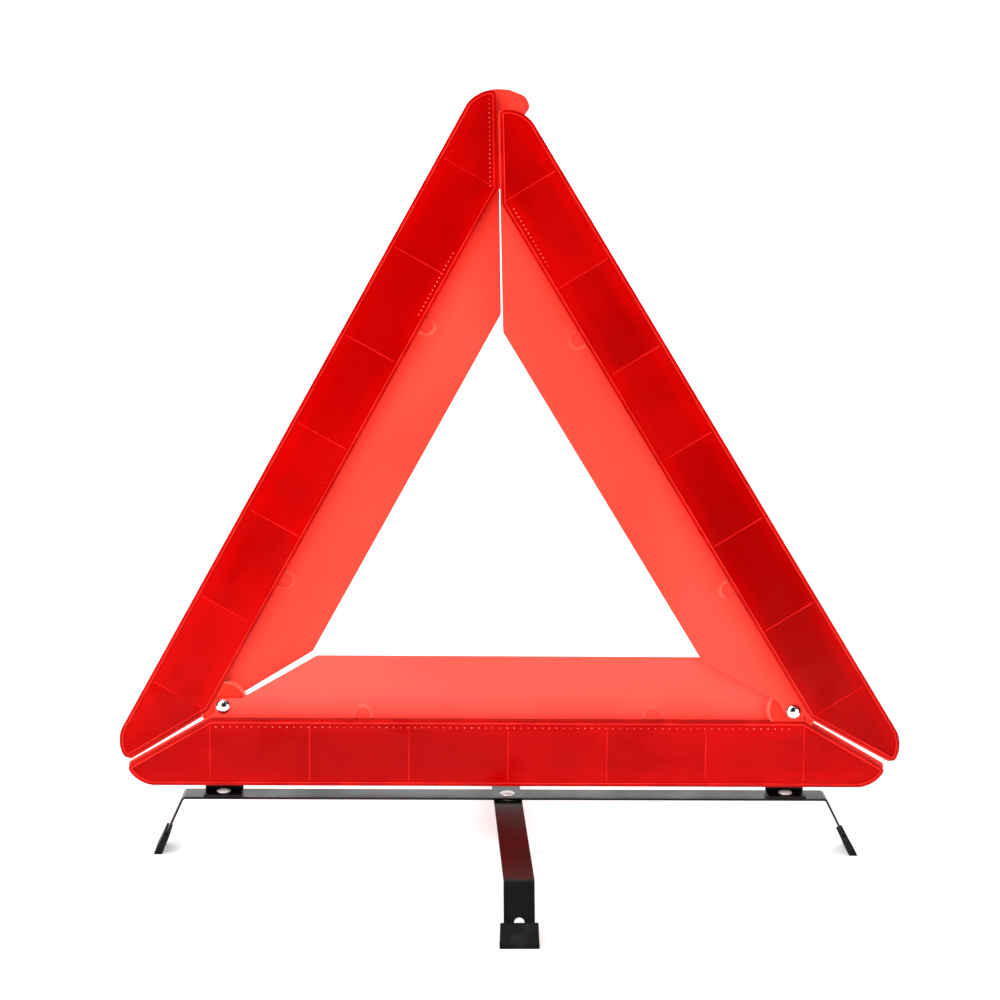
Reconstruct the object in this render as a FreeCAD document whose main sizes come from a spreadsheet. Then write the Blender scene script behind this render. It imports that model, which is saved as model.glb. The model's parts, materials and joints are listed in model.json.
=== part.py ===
import FreeCAD, Part
import math
import os
import Sketcher
from FreeCAD import Placement, Rotation, Vector

# Folding roadside warning triangle, in millimetres.
#
# Row frame: origin on the ground below the middle of the stand, +X to the right as
# seen by an approaching driver, +Y away from the driver, +Z up.
#
# The triangle is three moulded arms. Each arm is a fluorescent panel with a hollow
# reflector lens welded over its outer half. The base arm is fixed to the stand; the
# left arm turns on a rivet in the layer behind it and the right arm in the layer in
# front, so both fold flat along the base arm. A round boss round each pivot bridges the
# layers. The stand is a bent steel strip with a second strip riveted crosswise below it.
#
# Arm frame: X runs along the arm from its middle, Y across it (lens below zero, panel
# strip above), Z towards the driver, with zero at the panel's front face. The two
# pivots lie on the arm frame's X axis.

SIZES = [
    # arms
    ("pivot_half_span", 161.0, "from the middle of an arm to each corner pivot"),
    ("lens_near", 6.4, "from the pivot line to the lens's inner edge"),
    ("lens_far", 44.1, "from the pivot line to the arm's outer edge"),
    ("strip_reach", 29.3, "from the pivot line to the panel's inner edge"),
    ("panel_thickness", 2.0, "moulded panel"),
    ("lens_height", 5.8, "lens face above the panel"),
    ("lens_face", 1.8, "lens face thickness"),
    ("lens_wall", 1.6, "lens side wall thickness"),
    ("rim_width", 2.9, "plain rim round the lens face"),
    ("rim_step", 0.35, "how far the optical field lies below the rim"),
    ("lens_setback", 2.2, "lens mitre behind the corner's bisector"),
    ("corner_angle", 30.0, "mitre angle of every corner, degrees"),
    ("shoulder_reach", 47.1, "outer shoulder beyond the pivot"),
    ("shoulder_radius", 20.0, "large outer rounding of the arm's tip"),
    ("tip_angle", 58.0, "angle between shoulder and tip, degrees"),
    ("tip_radius", 2.5, "small rounding of the arm's tip"),
    ("inner_radius", 4.0, "rounding of the lens's inner corners"),
    ("strip_radius", 3.0, "rounding of the panel's inner corners"),
    ("apex_trim", 3.5, "right arm's tip shorter at the apex, clear of the catch"),
    ("layer_pitch", 8.2, "depth from one arm's layer to the next"),
    ("boss_radius", 13.7, "round boss at a rear pivot"),
    ("boss_height", 6.0, "boss above the panel's front face"),
    ("nose_radius", 4.6, "rounded ear at a front pivot"),
    ("rib_offset", 82.0, "U-shaped ribs from the arm's middle"),
    ("rib_height", 0.8, "U-shaped ribs above the panel"),
    ("rib_half_width", 5.0, "U-shaped rib, outside"),
    ("rib_reach", 7.2, "U-shaped rib beyond the lens"),
    ("rib_wall", 1.2, "U-shaped rib's thickness"),
    # pose of the opened triangle
    ("lean_back", 5.5, "the sign leans back, degrees"),
    ("left_slack", 1.3, "left arm past sixty degrees, degrees"),
    ("right_slack", 1.8, "right arm past sixty degrees, degrees"),
    ("pivot_height", 81.6, "corner pivots above the ground"),
    ("pivot_depth", 7.1, "corner pivots behind the stand's middle"),
    # stand
    ("strip_width", 16.0, "steel strip"),
    ("strip_thickness", 1.2, "steel strip"),
    ("leg_angle", 66.0, "legs from the horizontal, degrees"),
    ("right_leg_angle", 63.0, "the right leg is bent out a little further, degrees"),
    ("bar_top", 33.0, "top of the long strip above the ground"),
    ("bar_half_span", 182.0, "middle to bend, long strip"),
    ("bar_shift", -1.1, "the long strip's middle, off the strips' crossing"),
    ("leg_half_span", 133.6, "middle to bend, cross strip"),
    ("leg_turn", 0.8, "cross strip out of square, degrees"),
    ("leg_gap", 0.4, "room for the washer between the strips"),
    ("boot_length", 12.6, "rubber boot along the leg"),
    ("boot_width", 20.8, "rubber boot"),
    ("boot_sole", 2.2, "rubber below the strip's end"),
    ("leg_hole_radius", 2.7, "hole near each leg's end"),
    ("bracket_offset", 159.4, "brackets from the long strip's middle"),
    ("bracket_width", 21.5, "bracket plate"),
    ("bracket_plate", 1.2, "bracket plate thickness"),
    ("bracket_front", 7.5, "bracket foot in front of the stand's middle"),
    ("bracket_top", 31.0, "bracket's top edge below the pivot line"),
    # rivets
    ("pivot_shank", 2.5, "corner rivet shank radius"),
    ("pivot_head", 4.3, "corner rivet head radius"),
    ("pivot_dome", 2.5, "corner rivet head height"),
    ("pivot_washer", 5.6, "corner washer radius"),
    ("pivot_washer_thickness", 0.9, "corner washer"),
    ("face_gap", 0.15, "clearance between two layers that turn on each other"),
    ("running_gap", 0.05, "radial clearance of a turning fit"),
    ("foot_shank", 2.0, "bracket to strip rivet shank radius"),
    ("foot_head", 3.9, "bracket to strip rivet head radius"),
    ("stand_head", 4.2, "crossing rivet head radius"),
    ("stand_dome", 1.2, "head height of the stand's rivets"),
    ("stand_washer", 7.5, "washer between the strips"),
    ("panel_shank", 1.5, "bracket to panel rivet shank radius"),
    ("panel_rivet_spread", 6.0, "panel rivets each side of the bracket's middle"),
    ("panel_rivet_drop", 38.0, "panel rivets below the pivot line"),
]
LIMIT_OF_SAME = 1e-6
LEAST_CUT = 0.01

document = FreeCAD.newDocument("WarningTriangle")
sheet = document.addObject("Spreadsheet::Sheet", "Sizes")
for row, (alias, value, meaning) in enumerate(SIZES, start=1):
    sheet.set(f"A{row}", alias)
    sheet.set(f"B{row}", str(value))
    sheet.set(f"C{row}", meaning)
    sheet.setAlias(f"B{row}", alias)
document.recompute()

NODES = []


def size(alias):
    """The number in the sheet's cell."""
    return float(sheet.get(alias))


# ---------------------------------------------------------------- modelling helpers

def new_body(label):
    """A body that becomes one node."""
    body = document.addObject("PartDesign::Body", label)
    body.Label = label
    NODES.append(body)
    return body


def new_sketch(body, role, name, lift=None, offset=None):
    """A sketch on one of the body's origin planes, raised by an expression if asked."""
    plane = next(item for item in body.Origin.OriginFeatures if item.Role == role)
    sketch = body.newObject("Sketcher::SketchObject", f"{body.Name}_{name}")
    sketch.AttachmentSupport = [(plane, "")]
    sketch.MapMode = "FlatFace"
    if offset is not None:
        sketch.AttachmentOffset = offset
    if lift is not None:
        sketch.setExpression("AttachmentOffset.Base.z", lift)
    return sketch


def draw_outline(sketch, corners):
    """A closed outline through (x, y, radius) corners, with a round at each radius."""
    rounds = []
    for index, (x, y, radius) in enumerate(corners):
        here = Vector(x, y, 0)
        before = Vector(*corners[index - 1][:2], 0)
        after = Vector(*corners[(index + 1) % len(corners)][:2], 0)
        back = (before - here).normalize()
        ahead = (after - here).normalize()
        half_angle = back.getAngle(ahead) / 2
        run = radius / math.tan(half_angle)
        bisector = (back + ahead).normalize() if radius else Vector(0, 0, 0)
        centre = here + bisector * (radius / math.sin(half_angle))
        middle = centre - bisector * radius
        rounds.append((here + back * run, middle, here + ahead * run, radius))
    for index, (start, middle, end, radius) in enumerate(rounds):
        if radius:
            sketch.addGeometry(Part.Arc(start, middle, end), False)
        following = rounds[(index + 1) % len(rounds)][0]
        if end.distanceToPoint(following) > LIMIT_OF_SAME:
            sketch.addGeometry(Part.LineSegment(end, following), False)


def draw_circle(sketch, x, y, radius_expression):
    """A circle whose radius follows the sheet."""
    circle = sketch.addGeometry(Part.Circle(Vector(x, y, 0), Vector(0, 0, 1), 1.0), False)
    constraint = sketch.addConstraint(Sketcher.Constraint("Radius", circle, 1.0))
    sketch.setExpression(f"Constraints[{constraint}]", radius_expression)


def pad(body, sketch, length_expression, midplane=False):
    """Material from the sketch along its normal."""
    feature = body.newObject("PartDesign::Pad", f"{sketch.Name}_pad")
    feature.Profile = sketch
    feature.Midplane = midplane
    feature.setExpression("Length", length_expression)
    sketch.Visibility = False
    document.recompute()
    return feature


def pocket(body, sketch, length_expression, upward=False, midplane=False):
    """Material taken out below the sketch, or above it; it has to take something."""
    document.recompute()
    volume_before = body.Shape.Volume
    feature = body.newObject("PartDesign::Pocket", f"{sketch.Name}_pocket")
    feature.Profile = sketch
    feature.Reversed = upward
    feature.Midplane = midplane
    feature.setExpression("Length", length_expression)
    document.recompute()
    if body.Shape.Volume > volume_before - LEAST_CUT:
        raise RuntimeError(f"{feature.Name} cuts nothing")
    return feature


def lathe(body, profile):
    """A body turned about its Z axis from (radius, height, rounding) corners."""
    sketch = new_sketch(body, "XZ_Plane", "profile")
    draw_outline(sketch, profile)
    feature = body.newObject("PartDesign::Revolution", f"{body.Name}_turned")
    feature.Profile = sketch
    feature.ReferenceAxis = (sketch, ["V_Axis"])
    feature.Angle = 360.0
    document.recompute()


# ---------------------------------------------------------------- placements

def sign_placement(x=0.0, y=0.0, angle=0.0, depth=0.0):
    """Where a piece of the leaning sign goes: x and y in its plane, turned by angle."""
    lean = Rotation(Vector(1, 0, 0), 90.0 - size("lean_back"))
    plane = Placement(Vector(0, size("pivot_depth"), size("pivot_height")), lean)
    turn = Placement(Vector(x, y, depth), Rotation(Vector(0, 0, 1), angle))
    return plane.multiply(turn)


def arm_placement(pivot_x, pivot_end, angle, depth):
    """An arm turned about one of its pivots; pivot_end is -1 for its start, 1 for its end."""
    half = pivot_end * size("pivot_half_span")
    middle = Rotation(Vector(0, 0, 1), angle).multVec(Vector(-half, 0, 0))
    return sign_placement(pivot_x + middle.x, middle.y, angle, depth)


HALF = size("pivot_half_span")
PITCH = size("layer_pitch")
BASE_ARM = sign_placement()
LEFT_ARM = arm_placement(-HALF, 1, 240.0 + size("left_slack"), -PITCH)
RIGHT_ARM = arm_placement(HALF, -1, 120.0 + size("right_slack"), PITCH)

# ---------------------------------------------------------------- arm outlines

TIP_STEP = math.radians(size("tip_angle"))
MITRE = math.radians(size("corner_angle"))
SLOPE = math.tan(MITRE)


def mitre_at_height(y, setback):
    """Distance beyond the pivot where a corner's mitre line has this height."""
    return -(y + setback / math.cos(MITRE)) / SLOPE


def mitre_at_reach(reach, setback):
    """Height of a corner's mitre line at this distance beyond the pivot."""
    return -reach * SLOPE - setback / math.cos(MITRE)


def tip_corners(setback, inset=0.0, trim=0.0):
    """The tip and the outer shoulder of an arm's end, as distances beyond the pivot."""
    outer = size("lens_far") - inset
    shoulder = size("shoulder_reach") - trim - inset * math.tan(TIP_STEP / 2)
    rise = outer - SLOPE * shoulder - setback / math.cos(MITRE)
    run = rise / (math.sin(TIP_STEP) + SLOPE * math.cos(TIP_STEP))
    tip = shoulder + run * math.cos(TIP_STEP)
    tip_radius = max(size("tip_radius") - inset, 0.6)
    room = run - tip_radius / math.tan((TIP_STEP + MITRE) / 2) - 0.1
    shoulder_radius = min(size("shoulder_radius") - inset, room / math.tan(TIP_STEP / 2))
    return [(tip, mitre_at_reach(tip, setback), tip_radius), (shoulder, -outer, shoulder_radius)]


def lens_end(inset=0.0, trim=0.0):
    """One end of the lens outline, from its inner edge round to its outer edge."""
    setback = size("lens_setback") + inset
    inner = -size("lens_near") - inset
    corner = (mitre_at_height(inner, setback), inner, max(size("inner_radius") - inset, 1.0))
    return [corner] + tip_corners(setback, inset, trim)


def strip_corner(setback):
    """The inner corner of a panel's end."""
    reach = size("strip_reach")
    return (mitre_at_height(reach, setback), reach, size("strip_radius"))


def plain_end(setback, trim=0.0):
    """A panel's end cut straight along the mitre."""
    return [strip_corner(setback)] + tip_corners(setback, trim=trim)


def nose_end(setback):
    """A panel's end with a small round ear at the pivot, for the front of a joint."""
    nose = size("nose_radius")
    return [
        strip_corner(setback),
        (mitre_at_height(nose, setback), nose, 1.5),
        (nose, nose, nose),
        (nose, mitre_at_reach(nose, setback), 2.0),
    ] + tip_corners(setback)


def tab_end(setback):
    """A panel's end with the catch tab: corners along and outward of the mitre line."""
    across = Vector(math.sin(MITRE), math.cos(MITRE), 0)
    along = Vector(math.cos(MITRE), -math.sin(MITRE), 0)
    tab = [
        (9.0, -setback, 1.5), (12.0, 1.8, 1.5), (43.0, 1.8, 3.0), (49.0, 13.0, 3.0),
        (54.2, 17.0, 4.0), (60.3, 14.2, 6.0), (64.0, 5.0, 9.0), (64.4, -2.0, 12.0),
    ]
    corners = [strip_corner(setback)]
    for reach, outward, radius in tab:
        point = along * reach + across * outward
        corners.append((point.x, point.y, radius))
    return corners + tip_corners(setback)[1:]


def arm_outline(start_end, finish_end):
    """A whole outline from the corner lists of its two ends."""
    start = [(-HALF - x, y, radius) for x, y, radius in start_end]
    finish = [(HALF + x, y, radius) for x, y, radius in reversed(finish_end)]
    return start + finish


# ---------------------------------------------------------------- arms

FIT = 0.2


def make_lens(label, placement, trim=0.0):
    """A hollow reflector lens: outer block, cavity behind it and a rim round its face."""
    body = new_body(label)
    outline = new_sketch(body, "XY_Plane", "outline")
    draw_outline(outline, arm_outline(lens_end(), lens_end(trim=trim)))
    pad(body, outline, "Sizes.lens_height")
    wall = size("lens_wall")
    cavity = new_sketch(body, "XY_Plane", "cavity")
    draw_outline(cavity, arm_outline(lens_end(wall), lens_end(wall, trim)))
    pocket(body, cavity, "Sizes.lens_height - Sizes.lens_face", upward=True)
    rim = size("rim_width")
    field = new_sketch(body, "XY_Plane", "field", lift="Sizes.lens_height")
    draw_outline(field, arm_outline(lens_end(rim), lens_end(rim, trim)))
    pocket(body, field, "Sizes.rim_step")
    body.Placement = placement
    return body


def add_ribs(body):
    """The two low U-shaped ribs beside the lens."""
    wall = size("rib_wall")
    outer = size("rib_half_width")
    inner = outer - wall
    foot = -size("lens_near") + FIT
    top = foot + size("rib_reach")
    for side in (-1, 1):
        x = side * size("rib_offset")
        ribs = new_sketch(body, "XY_Plane", "rib_left" if side < 0 else "rib_right")
        draw_outline(ribs, [
            (x - outer, foot, 0), (x - inner, foot, 0), (x - inner, top - wall, inner - FIT),
            (x + inner, top - wall, inner - FIT), (x + inner, foot, 0), (x + outer, foot, 0),
            (x + outer, top, outer - FIT), (x - outer, top, outer - FIT),
        ])
        pad(body, ribs, "Sizes.rib_height")


def make_panel(label, placement, start_end, finish_end, boss_side=0, holes=()):
    """A fluorescent panel, with a round boss at one pivot if that pivot is a rear one."""
    body = new_body(label)
    outline = new_sketch(body, "XY_Plane", "outline", lift="-Sizes.panel_thickness")
    draw_outline(outline, arm_outline(start_end, finish_end))
    pad(body, outline, "Sizes.panel_thickness")
    if boss_side:
        boss = new_sketch(body, "XY_Plane", "boss", lift="-Sizes.panel_thickness")
        draw_circle(boss, boss_side * HALF, 0, "Sizes.boss_radius")
        pad(body, boss, "Sizes.panel_thickness + Sizes.boss_height")
        seat = new_sketch(body, "XY_Plane", "lens_seat")
        draw_outline(seat, arm_outline(lens_end(-FIT), lens_end(-FIT)))
        pocket(body, seat, "Sizes.boss_height + 1", upward=True)
    add_ribs(body)
    for index, (x, y, radius_expression) in enumerate(holes):
        hole = new_sketch(body, "XY_Plane", f"hole{index}", lift="-Sizes.panel_thickness")
        draw_circle(hole, x, y, radius_expression)
        pocket(body, hole, "Sizes.panel_thickness + Sizes.boss_height + 1", upward=True)
    body.Placement = placement
    return body


TURNING_HOLE = "Sizes.pivot_shank + Sizes.running_gap"
BRACKETS = {
    "left": size("bar_shift") - size("bracket_offset"),
    "right": size("bar_shift") + size("bracket_offset"),
}
panel_rivet_holes = [
    (bracket_x + step, -size("panel_rivet_drop"), "Sizes.panel_shank")
    for bracket_x in BRACKETS.values()
    for step in (-size("panel_rivet_spread"), size("panel_rivet_spread"))
]
make_panel(
    "base_panel", BASE_ARM, nose_end(1.1), plain_end(0.4), boss_side=1,
    holes=[(-HALF, 0, "Sizes.pivot_shank"), (HALF, 0, "Sizes.pivot_shank")] + panel_rivet_holes,
)
make_lens("base_lens", BASE_ARM)

left_panel = make_panel(
    "left_panel", LEFT_ARM, tab_end(1.0), plain_end(0.1), boss_side=1,
    holes=[(HALF, 0, TURNING_HOLE)],
)
CATCH_ALONG = 52.0
CATCH_OUTWARD = 8.5
catch = new_sketch(left_panel, "XY_Plane", "catch")
catch_x = -HALF - CATCH_ALONG * math.cos(MITRE) - CATCH_OUTWARD * math.sin(MITRE)
catch_y = -CATCH_ALONG * math.sin(MITRE) + CATCH_OUTWARD * math.cos(MITRE)
draw_circle(catch, catch_x, catch_y, "Sizes.nose_radius")
pad(left_panel, catch, "2 * (Sizes.layer_pitch - Sizes.face_gap) - Sizes.panel_thickness")
make_lens("left_lens", LEFT_ARM)

make_panel(
    "right_panel", RIGHT_ARM, nose_end(0.7), plain_end(1.6, size("apex_trim")),
    holes=[(-HALF, 0, TURNING_HOLE)],
)
make_lens("right_lens", RIGHT_ARM, size("apex_trim"))

# ---------------------------------------------------------------- rivets and washers


def rivet_profile(shank, length, head, head_height, tail, tail_height):
    """Domed head above zero, shank below it and a clinched tail at the far end."""
    crown = 0.62 * head
    end = -length - tail_height
    return [
        (0, head_height, 0), (crown, head_height, 0.9 * head_height), (head, 0, 0),
        (shank, 0, 0), (shank, -length, 0), (tail, -length, 0),
        (tail, end, 0.6 * tail_height), (0, end, 0),
    ]


def make_rivet(label, placement, *profile):
    """A turned rivet whose head's underside is at the placement's origin."""
    body = new_body(label)
    lathe(body, rivet_profile(*profile))
    body.Placement = placement
    return body


def make_washer(label, placement, bore, radius, thickness):
    """A flat ring below the placement's origin."""
    body = new_body(label)
    edge = 0.25 * thickness
    lathe(body, [(bore, 0, 0), (radius, 0, edge), (radius, -thickness, edge), (bore, -thickness, 0)])
    body.Placement = placement
    return body


SHEET = size("panel_thickness")
WASHER = size("pivot_washer_thickness")
FACE_GAP = size("face_gap")
PIVOT_TAIL = (4.0, 1.3)
pivot_rivet = (size("pivot_shank"), SHEET + PITCH + FACE_GAP + WASHER, size("pivot_head"), size("pivot_dome"))
pivot_ring = (size("pivot_shank"), size("pivot_washer"), WASHER)
make_rivet("left_pivot_rivet", sign_placement(-HALF), *pivot_rivet, *PIVOT_TAIL)
make_washer("left_pivot_washer", sign_placement(-HALF, depth=-(SHEET + PITCH + FACE_GAP)), *pivot_ring)
make_rivet("right_pivot_rivet", sign_placement(HALF, depth=PITCH + FACE_GAP), *pivot_rivet, *PIVOT_TAIL)
make_washer("right_pivot_washer", sign_placement(HALF, depth=-SHEET), *pivot_ring)

# ---------------------------------------------------------------- stand

STRIP = size("strip_thickness")
LEG_ANGLE = size("leg_angle")


class Leg:
    """One bent leg, to the right of the middle: where it lands and which way it runs."""

    def __init__(self, half_span, top, angle):
        self.lean = math.radians(angle)
        self.tilt = 90.0 - angle
        self.down = Vector(math.cos(self.lean), 0, -math.sin(self.lean))
        self.out = Vector(math.sin(self.lean), 0, math.cos(self.lean))
        self.landing = Vector(half_span + top / math.tan(self.lean), 0, 0)
        self.boot_mouth = self.landing - self.out * (STRIP / 2) - self.down * size("boot_length")


def leg_corners(leg, half_span, top):
    """The strip's outline round one leg, from its underside to its top."""
    end_outer = leg.landing - leg.down * size("boot_sole")
    end_inner = end_outer - leg.out * STRIP
    bend_inner = half_span - STRIP * math.tan(leg.lean / 2)
    return [
        (bend_inner, top - STRIP, 1.4), (end_inner.x, end_inner.z, 0),
        (end_outer.x, end_outer.z, 0), (half_span, top, 2.6),
    ]


def bent_strip(label, half_span, top, angles, holes, placement):
    """A flat strip whose two ends are bent down into legs, with a hole near each end."""
    body = new_body(label)
    left_leg, right_leg = [Leg(half_span, top, angle) for angle in angles]
    right = leg_corners(right_leg, half_span, top)
    left = [(-x, z, radius) for x, z, radius in reversed(leg_corners(left_leg, half_span, top))]
    profile = new_sketch(body, "XZ_Plane", "profile")
    draw_outline(profile, right + left)
    pad(body, profile, "Sizes.strip_width", midplane=True)
    for side, leg in ((-1, left_leg), (1, right_leg)):
        spot = leg.boot_mouth
        turn = Rotation(Vector(1, 0, 0), -side * leg.tilt)
        offset = Placement(Vector(0, spot.z, side * spot.x), turn)
        hole = new_sketch(body, "YZ_Plane", "end_left" if side < 0 else "end_right", offset=offset)
        draw_circle(hole, 0, 0, "Sizes.leg_hole_radius")
        pocket(body, hole, "4 * Sizes.strip_thickness", midplane=True)
    for index, (x, radius_expression) in enumerate(holes):
        hole = new_sketch(body, "XY_Plane", f"web{index}")
        draw_circle(hole, x, 0, radius_expression)
        pocket(body, hole, "Sizes.bar_top + 1", upward=True)
    body.Placement = placement
    return body


BOOT_LIP = 1.9
BOOT_ROUND = 0.4
SOLE_IN = 2.7
SOLE_OUT = 2.4


def rubber_boot(label, half_span, top, angle, placement):
    """A rubber sleeve pushed over a strip's end, flat where it meets the ground."""
    body = new_body(label)
    leg = Leg(half_span, top, angle)
    upper_out = leg.boot_mouth + leg.out * BOOT_LIP
    upper_in = leg.boot_mouth - leg.out * BOOT_LIP
    profile = new_sketch(body, "XZ_Plane", "profile")
    draw_outline(profile, [
        (leg.landing.x - SOLE_IN, 0, BOOT_ROUND), (leg.landing.x + SOLE_OUT, 0, BOOT_ROUND),
        (upper_out.x, upper_out.z, BOOT_ROUND), (upper_in.x, upper_in.z, BOOT_ROUND),
    ])
    pad(body, profile, "Sizes.boot_width", midplane=True)
    offset = Placement(leg.boot_mouth, Rotation(Vector(0, 1, 0), -leg.tilt))
    slot = new_sketch(body, "XY_Plane", "slot", offset=offset)
    half_width = size("strip_width") / 2
    draw_outline(slot, [
        (-STRIP / 2, -half_width, 0), (STRIP / 2, -half_width, 0),
        (STRIP / 2, half_width, 0), (-STRIP / 2, half_width, 0),
    ])
    pocket(body, slot, "Sizes.boot_length - Sizes.boot_sole")
    body.Placement = placement
    return body


def on_ground(x, angle):
    """A placement that moves a piece of the stand along X and turns it about the vertical."""
    return Placement(Vector(x, 0, 0), Rotation(Vector(0, 0, 1), angle))


BAR_TOP = size("bar_top")
BAR_SPAN = size("bar_half_span")
BAR_SHIFT = size("bar_shift")
LEG_TOP = BAR_TOP - STRIP - size("leg_gap")
LEG_SPAN = size("leg_half_span")
CROSSWISE = 90.0 + size("leg_turn")
RIGHT_ANGLE = size("right_leg_angle")
bar_holes = [(-BAR_SHIFT, "Sizes.pivot_shank")] + [
    (side * size("bracket_offset"), "Sizes.foot_shank") for side in (-1, 1)
]
bent_strip("stand_bar", BAR_SPAN, BAR_TOP, (LEG_ANGLE, RIGHT_ANGLE), bar_holes, on_ground(BAR_SHIFT, 0))
bent_strip(
    "cross_leg", LEG_SPAN, LEG_TOP, (LEG_ANGLE, LEG_ANGLE), [(0.0, TURNING_HOLE)], on_ground(0, CROSSWISE),
)
rubber_boot("right_foot", BAR_SPAN, BAR_TOP, RIGHT_ANGLE, on_ground(BAR_SHIFT, 0))
rubber_boot("left_foot", BAR_SPAN, BAR_TOP, LEG_ANGLE, on_ground(BAR_SHIFT, 180))
rubber_boot("rear_foot", LEG_SPAN, LEG_TOP, LEG_ANGLE, on_ground(0, CROSSWISE))
rubber_boot("front_foot", LEG_SPAN, LEG_TOP, LEG_ANGLE, on_ground(0, CROSSWISE + 180))

CLINCH_GAP = 0.1
make_rivet(
    "leg_pivot_rivet", Placement(Vector(0, 0, BAR_TOP), Rotation()),
    size("pivot_shank"), 2 * STRIP + size("leg_gap") + CLINCH_GAP, size("stand_head"), size("stand_dome"),
    4.2, 1.3,
)
make_washer(
    "leg_pivot_washer", Placement(Vector(0, 0, BAR_TOP - STRIP), Rotation()),
    size("pivot_shank"), size("stand_washer"), size("leg_gap") - CLINCH_GAP,
)


def make_bracket(label, x):
    """An angle plate: its foot lies on the long strip, its back plate behind the panel."""
    body = new_body(label)
    lean = math.radians(size("lean_back"))
    plate = size("bracket_plate")
    up = Vector(0, math.sin(lean), math.cos(lean))
    back = Vector(0, math.cos(lean), -math.sin(lean))
    pivot = Vector(0, size("pivot_depth"), size("pivot_height"))
    front_top = pivot + back * SHEET - up * size("bracket_top")
    back_top = front_top + back * plate

    def down_to(point, height):
        return point - up * ((point.z - height) / up.z)

    front_low = down_to(front_top, BAR_TOP + plate)
    back_low = down_to(back_top, BAR_TOP)
    profile = new_sketch(body, "YZ_Plane", "profile")
    draw_outline(profile, [
        (-size("bracket_front"), BAR_TOP, 0), (back_low.y, back_low.z, 1.8),
        (back_top.y, back_top.z, 0.3), (front_top.y, front_top.z, 0.3),
        (front_low.y, front_low.z, 0.6), (-size("bracket_front"), BAR_TOP + plate, 0),
    ])
    pad(body, profile, "Sizes.bracket_width", midplane=True)
    foot_hole = new_sketch(body, "XY_Plane", "foot_hole")
    draw_circle(foot_hole, 0, 0, "Sizes.foot_shank")
    pocket(body, foot_hole, "Sizes.bar_top + 2 * Sizes.bracket_plate", upward=True)
    low = pivot - up * size("panel_rivet_drop")
    offset = Placement(Vector(0, low.z, -low.y), Rotation(Vector(1, 0, 0), -size("lean_back")))
    for side in (-1, 1):
        hole = new_sketch(body, "XZ_Plane", "back_left" if side < 0 else "back_right", offset=offset)
        draw_circle(hole, side * size("panel_rivet_spread"), 0, "Sizes.panel_shank")
        pocket(body, hole, "4 * Sizes.panel_thickness", midplane=True)
    body.Placement = Placement(Vector(x, 0, 0), Rotation())
    return body


def panel_rivets(label, x):
    """The pair of small rivets through a bracket's back plate and the base panel."""
    parts = []
    grip = SHEET + size("bracket_plate")
    profile = rivet_profile(size("panel_shank"), grip, 2.7, 1.0, 2.6, 1.0)
    points = [Vector(radius, 0, height) for radius, height, rounding in profile]
    face = Part.Face(Part.makePolygon(points + points[:1]))
    for side in (-1, 1):
        turned = face.revolve(Vector(0, 0, 0), Vector(0, 0, 1), 360)
        turned.translate(Vector(side * size("panel_rivet_spread"), 0, 0))
        parts.append(turned)
    feature = document.addObject("Part::Feature", label)
    feature.Label = label
    feature.Shape = Part.makeCompound(parts)
    feature.Placement = sign_placement(x, -size("panel_rivet_drop"))
    NODES.append(feature)


for name, x in BRACKETS.items():
    make_bracket(f"{name}_bracket", x)
    make_rivet(
        f"{name}_bracket_rivet", Placement(Vector(x, 0, BAR_TOP + size("bracket_plate")), Rotation()),
        size("foot_shank"), size("bracket_plate") + STRIP, size("foot_head"), size("stand_dome"), 3.2, 1.0,
    )
    panel_rivets(f"{name}_panel_rivets", x)

# ---------------------------------------------------------------- checks and export

document.recompute()
for item in document.Objects:
    if "Invalid" in item.State or "Error" in item.State:
        raise RuntimeError(f"{item.Name} did not recompute: {item.State}")
os.makedirs("parts", exist_ok=True)
for node in NODES:
    if node.Shape.isNull() or not node.Shape.isValid():
        raise RuntimeError(f"{node.Label} has no valid shape")
    node.Shape.exportStep(f"parts/{node.Label}.step")
    print(f"{node.Label}: {node.Shape.Volume:.1f} mm3, {len(node.Shape.Solids)} solid(s)")
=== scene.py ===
import json
import math

import bmesh
import bpy
from mathutils import Matrix, Vector


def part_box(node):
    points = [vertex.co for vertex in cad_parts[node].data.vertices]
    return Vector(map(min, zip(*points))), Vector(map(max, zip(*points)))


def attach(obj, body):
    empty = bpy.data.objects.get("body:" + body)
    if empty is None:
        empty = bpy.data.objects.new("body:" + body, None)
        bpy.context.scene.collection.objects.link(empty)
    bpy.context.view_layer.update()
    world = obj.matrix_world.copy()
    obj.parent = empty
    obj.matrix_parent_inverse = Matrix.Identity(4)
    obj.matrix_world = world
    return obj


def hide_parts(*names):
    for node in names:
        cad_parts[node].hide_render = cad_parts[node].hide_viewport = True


# Folding roadside warning triangle: moulded arms with reflector lenses on a riveted strip stand.
# The CAD frame gives every place; sizes below are in metres.

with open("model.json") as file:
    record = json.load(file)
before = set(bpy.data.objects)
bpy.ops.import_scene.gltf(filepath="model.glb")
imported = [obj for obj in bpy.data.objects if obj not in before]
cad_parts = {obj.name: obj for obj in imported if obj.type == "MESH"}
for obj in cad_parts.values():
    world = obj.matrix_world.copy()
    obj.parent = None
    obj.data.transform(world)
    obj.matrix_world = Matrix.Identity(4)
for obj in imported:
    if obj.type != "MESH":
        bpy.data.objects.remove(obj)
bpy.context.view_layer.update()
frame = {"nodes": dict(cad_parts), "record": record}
NODES = frame["nodes"]
MM = 0.001

# ------------------------------------------------------------------ sizes and places

SAME = 1e-6  # two places or heights nearer than this are one
UPWARD = 0.9  # the least z of the normal of a face that looks up
EASE_FROM = 35  # edges turning by more than this are eased, degrees

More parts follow.
